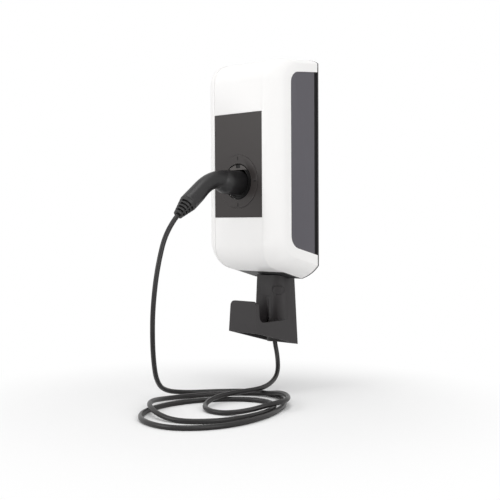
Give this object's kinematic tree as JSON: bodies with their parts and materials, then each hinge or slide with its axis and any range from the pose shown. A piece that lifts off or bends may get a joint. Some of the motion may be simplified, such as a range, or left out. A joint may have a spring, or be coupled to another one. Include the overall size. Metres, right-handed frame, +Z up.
{
  "type": "ev wallbox",
  "caption": "Wall-mounted electric car charger: a white curved cover on a dark housing, round plug holder with its parked plug, cable hanger below and a long charging cable.",
  "frame": {"origin": "centre of the four wall screws, on the wall plane, at half the height of the box", "axes": "+Z up along the wall, -Y out of the wall towards the user, +X to the right seen from the front"},
  "size_m": [0.346, 0.5123, 0.7448],
  "materials": {
    "white_cover": "satin",
    "face_grey": "satin",
    "side_grey": "satin",
    "housing_grey": "matte",
    "charcoal": "matte",
    "crescent_grey": "satin",
    "seal_rubber": "matte",
    "cable_rubber": "satin",
    "screw_steel": "satin",
    "contact_silver": "bright",
    "carrier_steel": "satin",
    "board_green": "satin",
    "terminal_grey": "matte",
    "earth_brass": "satin",
    "part_black": "satin",
    "part_blue": "satin",
    "part_white": "satin",
    "light_clear": "frosted"
  },
  "bodies": {
    "charger": {"cover_shell": "white_cover", "centre_cover": "white_cover", "face_panel": "face_grey", "holder_disc": "face_grey", "holder_cup": "charcoal", "holder_crescent": "crescent_grey", "holder_screws": "screw_steel", "strip_screws": "screw_steel", "side_panel_right": "side_grey", "side_panel_left": "side_grey", "rear_housing": "housing_grey", "cover_gasket": "seal_rubber", "supply_grommet": "seal_rubber", "cover_screws": "screw_steel", "base_cover": "housing_grey", "gland_body": "part_black", "gland_seal": "seal_rubber", "gland_nut": "part_black", "carrier_plate": "carrier_steel", "carrier_screws": "screw_steel", "board_spacers": "earth_brass", "main_board": "board_green", "board_screws": "screw_steel", "power_relay": "part_black", "current_sensor": "part_blue", "fuse_holder": "part_white", "network_socket": "contact_silver", "supply_terminal_block": "terminal_grey", "earth_terminal": "earth_brass", "output_terminal_block": "terminal_grey", "output_leads": "part_blue", "service_switch": "part_black", "reader_board": "board_green", "reader_screws": "screw_steel", "light_guide": "light_clear", "cable_hanger": "charcoal", "hanger_cap": "part_black", "hanger_wall_plate": "charcoal", "hanger_screws": "screw_steel", "plug_shell": "charcoal", "plug_nose": "part_black", "plug_insert": "part_black", "plug_contacts": "contact_silver", "plug_strain_relief": "cable_rubber", "charging_cable": "cable_rubber"},
    "button": {"service_button": "part_white"}
  },
  "joints": [
    {"name": "button_press", "type": "slide", "parent": "charger", "child": "button", "axis": [0, 1, 0], "range_m": [0, 0.0012], "stiffness_N_per_m": 400}
  ]
}
